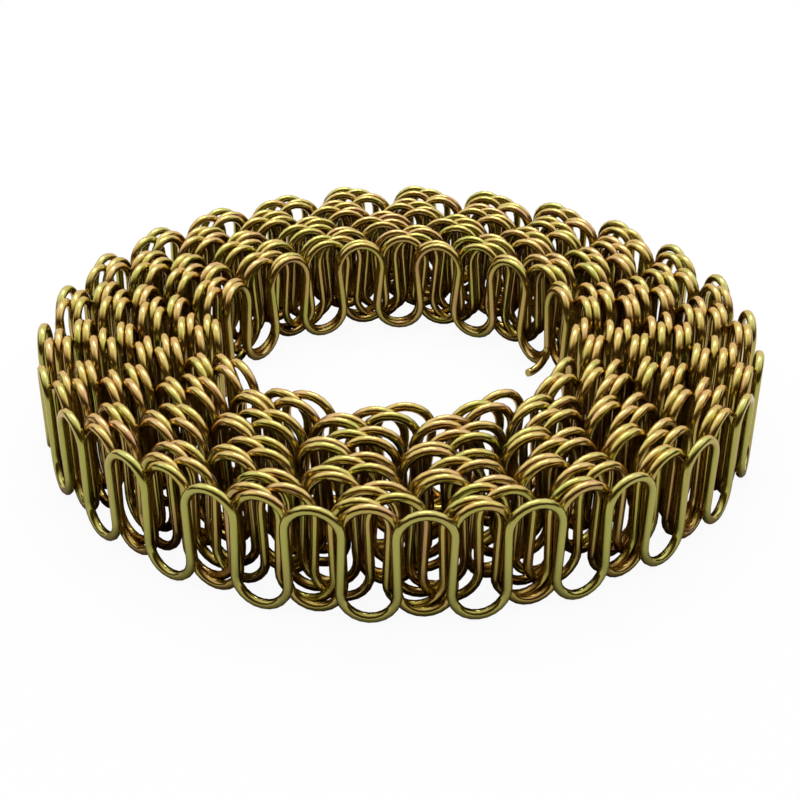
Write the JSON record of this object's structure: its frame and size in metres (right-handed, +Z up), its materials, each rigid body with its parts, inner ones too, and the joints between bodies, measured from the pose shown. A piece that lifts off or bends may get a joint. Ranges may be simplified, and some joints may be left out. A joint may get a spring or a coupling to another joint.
{
  "type": "zigzag spring",
  "caption": "Roll of zigzag spring: one plated steel wire bent into a flat wavy strip and wound around an open hole, cut to length for seat and sofa frames.",
  "frame": {"origin": "on the floor below the middle of the roll's bounding box", "axes": "+Z up along the roll's axis, -Y towards the front of the picture, +X to its right"},
  "size_m": [0.3278, 0.33, 0.05],
  "materials": {
    "wire": "satin"
  },
  "bodies": {
    "root": {"zigzag_spring": "wire"}
  },
  "joints": []
}
